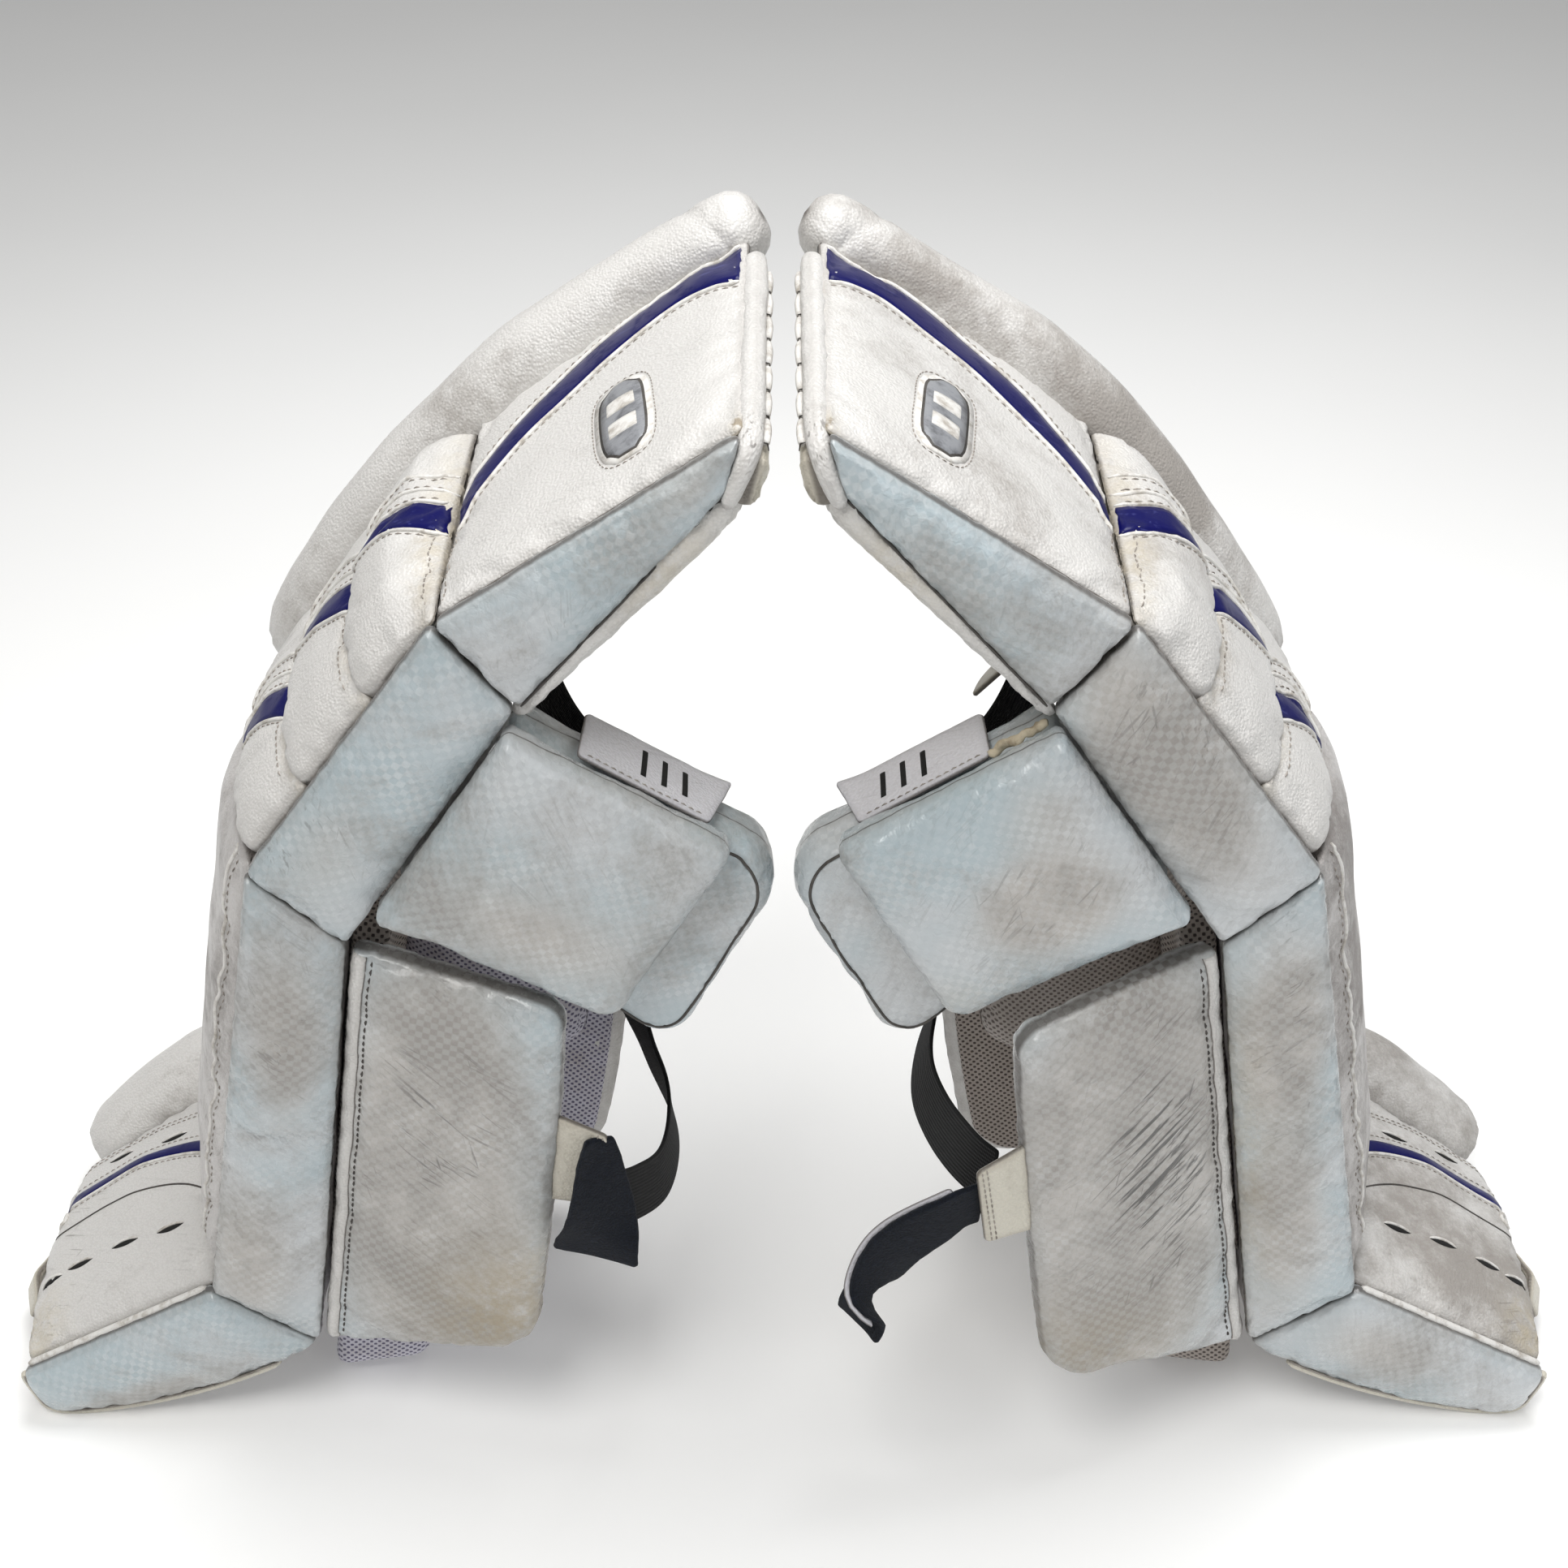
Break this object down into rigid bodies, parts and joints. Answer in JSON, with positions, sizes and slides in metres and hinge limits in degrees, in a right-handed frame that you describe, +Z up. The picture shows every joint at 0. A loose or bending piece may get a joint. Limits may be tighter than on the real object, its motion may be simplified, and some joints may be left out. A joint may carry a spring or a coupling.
{
  "type": "goalie leg pads",
  "caption": "Pair of ice hockey goalie leg pads with knee rolls, hinged knee blocks and calf wings, flexing thighs and boots, and hook-and-loop calf straps.",
  "frame": {"origin": "on the floor under the middle of the pair", "axes": "+X from the right pad to the left pad, +Y from the inner edges (knee blocks and calf wings) to the outer rolls, +Z up"},
  "size_m": [1.064, 0.3274, 0.758],
  "materials": {
    "white_leather": "satin, grained and scuffed",
    "pearl_synthetic": "glossy pearl film with a fine woven square pattern, scuffed",
    "cream_leather": "satin, worn",
    "mesh_lining": "matte open knit mesh",
    "elastic_webbing": "matte woven webbing",
    "felt_strap": "matte brushed felt"
  },
  "bodies": {
    "right_thigh": {"right_thigh_core": "white_leather", "right_thigh_face": "white_leather", "right_thigh_inner_edge": "pearl_synthetic", "right_top_cap": "white_leather", "right_outer_roll_upper": "white_leather"},
    "right_shin": {"right_knee_shin_core": "white_leather", "right_knee_roll_upper": "white_leather", "right_knee_roll_middle": "white_leather", "right_knee_roll_lower": "white_leather", "right_knee_inner_edge": "pearl_synthetic", "right_shin_face": "white_leather", "right_shin_inner_edge": "pearl_synthetic", "right_outer_roll_lower": "white_leather", "right_shin_outer_roll": "white_leather", "right_leg_channel": "mesh_lining", "right_calf_wrap": "white_leather", "right_calf_cushion": "mesh_lining", "right_calf_strap": "elastic_webbing"},
    "right_knee": {"right_knee_wing": "pearl_synthetic", "right_knee_block": "pearl_synthetic", "right_knee_strap": "elastic_webbing"},
    "right_flap": {"right_knee_flap": "white_leather"},
    "right_wing": {"right_calf_wing": "pearl_synthetic", "right_strap_tab": "cream_leather"},
    "right_tail": {"right_strap_tail": "felt_strap"},
    "right_boot": {"right_boot_core": "white_leather", "right_boot_face": "white_leather", "right_boot_inner_edge": "pearl_synthetic", "right_boot_outer_roll": "white_leather", "right_toe_bridge": "cream_leather"},
    "left_thigh": {"left_thigh_core": "white_leather", "left_thigh_face": "white_leather", "left_thigh_inner_edge": "pearl_synthetic", "left_top_cap": "white_leather", "left_outer_roll_upper": "white_leather"},
    "left_shin": {"left_knee_shin_core": "white_leather", "left_knee_roll_upper": "white_leather", "left_knee_roll_middle": "white_leather", "left_knee_roll_lower": "white_leather", "left_knee_inner_edge": "pearl_synthetic", "left_shin_face": "white_leather", "left_shin_inner_edge": "pearl_synthetic", "left_outer_roll_lower": "white_leather", "left_shin_outer_roll": "white_leather", "left_leg_channel": "mesh_lining", "left_calf_wrap": "white_leather", "left_calf_cushion": "mesh_lining", "left_calf_strap": "elastic_webbing"},
    "left_knee": {"left_knee_wing": "pearl_synthetic", "left_knee_block": "pearl_synthetic", "left_knee_strap": "elastic_webbing"},
    "left_flap": {"left_knee_flap": "white_leather"},
    "left_wing": {"left_calf_wing": "pearl_synthetic", "left_strap_tab": "cream_leather"},
    "left_tail": {"left_strap_tail": "felt_strap"},
    "left_boot": {"left_boot_core": "white_leather", "left_boot_face": "white_leather", "left_boot_inner_edge": "pearl_synthetic", "left_boot_outer_roll": "white_leather", "left_toe_bridge": "cream_leather"}
  },
  "joints": [
    {"name": "pad_spread", "type": "slide", "parent": "right_shin", "child": "left_shin", "axis": [1, 0, 0], "range_m": [0, 0.3]},
    {"name": "right_thigh_flex", "type": "hinge", "parent": "right_shin", "child": "right_thigh", "pos_m": [-0.19478, -0.1023, 0.65119], "axis": [0, -1, 0], "range_deg": [0, 14]},
    {"name": "right_boot_flex", "type": "hinge", "parent": "right_shin", "child": "right_boot", "pos_m": [-0.38512, -0.1023, 0.14012], "axis": [0, 1, 0], "range_deg": [0, 12]},
    {"name": "right_knee_block", "type": "hinge", "parent": "right_shin", "child": "right_knee", "pos_m": [-0.13814, -0.1163, 0.5787], "axis": [-0.5558, 0, -0.8313], "range_deg": [-5, 25], "deforming": ["right_knee_strap"]},
    {"name": "right_knee_flap", "type": "hinge", "parent": "right_knee", "child": "right_flap", "pos_m": [-0.0664, -0.0913, 0.51148], "axis": [0.8313, 0, -0.5558], "range_deg": [0, 100]},
    {"name": "right_calf_wing", "type": "hinge", "parent": "right_shin", "child": "right_wing", "pos_m": [-0.24545, -0.1003, 0.4182], "axis": [-0.1661, 0, -0.9861], "range_deg": [-15, 45], "deforming": ["right_calf_strap"]},
    {"name": "right_strap_tail", "type": "hinge", "parent": "right_wing", "child": "right_tail", "pos_m": [-0.097, -0.1273, 0.272], "axis": [0, -1, 0], "range_deg": [-20, 30]},
    {"name": "left_thigh_flex", "type": "hinge", "parent": "left_shin", "child": "left_thigh", "pos_m": [0.19478, -0.1023, 0.65119], "axis": [0, 1, 0], "range_deg": [0, 14]},
    {"name": "left_boot_flex", "type": "hinge", "parent": "left_shin", "child": "left_boot", "pos_m": [0.38512, -0.1023, 0.14012], "axis": [0, -1, 0], "range_deg": [0, 12]},
    {"name": "left_knee_block", "type": "hinge", "parent": "left_shin", "child": "left_knee", "pos_m": [0.13814, -0.1163, 0.5787], "axis": [-0.5558, 0, 0.8313], "range_deg": [-5, 25], "deforming": ["left_knee_strap"]},
    {"name": "left_knee_flap", "type": "hinge", "parent": "left_knee", "child": "left_flap", "pos_m": [0.0664, -0.0913, 0.51148], "axis": [0.8313, 0, 0.5558], "range_deg": [0, 100]},
    {"name": "left_calf_wing", "type": "hinge", "parent": "left_shin", "child": "left_wing", "pos_m": [0.24545, -0.1003, 0.4182], "axis": [-0.1661, 0, 0.9861], "range_deg": [-26, 45], "deforming": ["left_calf_strap"]},
    {"name": "left_strap_tail", "type": "hinge", "parent": "left_wing", "child": "left_tail", "pos_m": [0.104, -0.1563, 0.268], "axis": [0, 1, 0], "range_deg": [-20, 30]}
  ]
}
